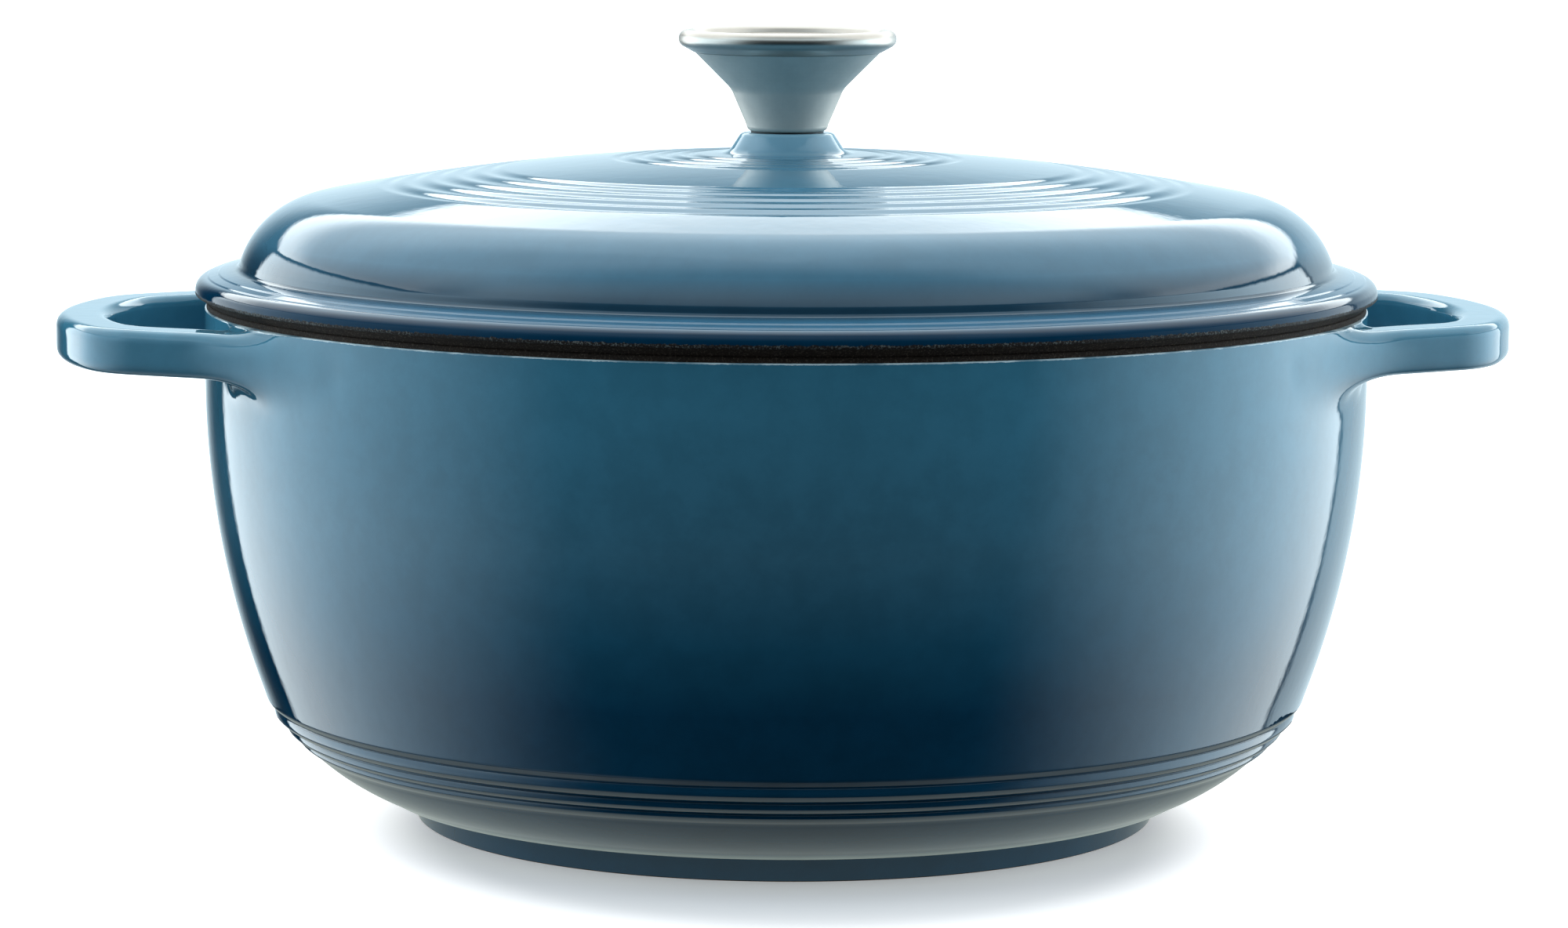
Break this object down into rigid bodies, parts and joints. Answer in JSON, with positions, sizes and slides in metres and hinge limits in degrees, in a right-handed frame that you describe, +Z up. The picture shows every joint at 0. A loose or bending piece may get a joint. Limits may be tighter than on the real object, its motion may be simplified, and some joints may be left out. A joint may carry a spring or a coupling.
{
  "type": "dutch oven",
  "caption": "Round enamelled cast iron oven with cast loop handles, stepped belly ribs, a foot ring, and a domed ringed lid with a flared steel knob.",
  "frame": {"origin": "middle of the foot ring's underside, on the surface the pot stands on", "axes": "+X along the handles, +Z up through the knob"},
  "size_m": [0.3442, 0.2794, 0.187],
  "materials": {
    "iron": "matte black ground coat over iron",
    "pot_enamel": "glossy enamel, mid blue fading to navy",
    "lid_enamel": "glossy enamel, pale blue darkening to the edge",
    "cream_enamel": "glossy cream enamel",
    "knob_steel": "turned satin",
    "polished_steel": "polished",
    "fastener_steel": "zinc-plated satin",
    "seal_rubber": "matte"
  },
  "bodies": {
    "pot": {"pot_casting": "iron", "pot_exterior_enamel": "pot_enamel", "pot_interior_enamel": "cream_enamel"},
    "lid": {"lid_casting": "iron", "lid_exterior_enamel": "lid_enamel", "lid_interior_enamel": "cream_enamel", "knob_seal": "seal_rubber", "knob_body": "knob_steel", "knob_cap": "polished_steel", "knob_insert": "fastener_steel", "knob_screw": "fastener_steel", "flat_washer": "fastener_steel", "lock_washer": "fastener_steel"}
  },
  "joints": [
    {"name": "lid_lift", "type": "slide", "parent": "pot", "child": "lid", "axis": [0, 0, 1], "range_m": [0, 0.16]}
  ]
}
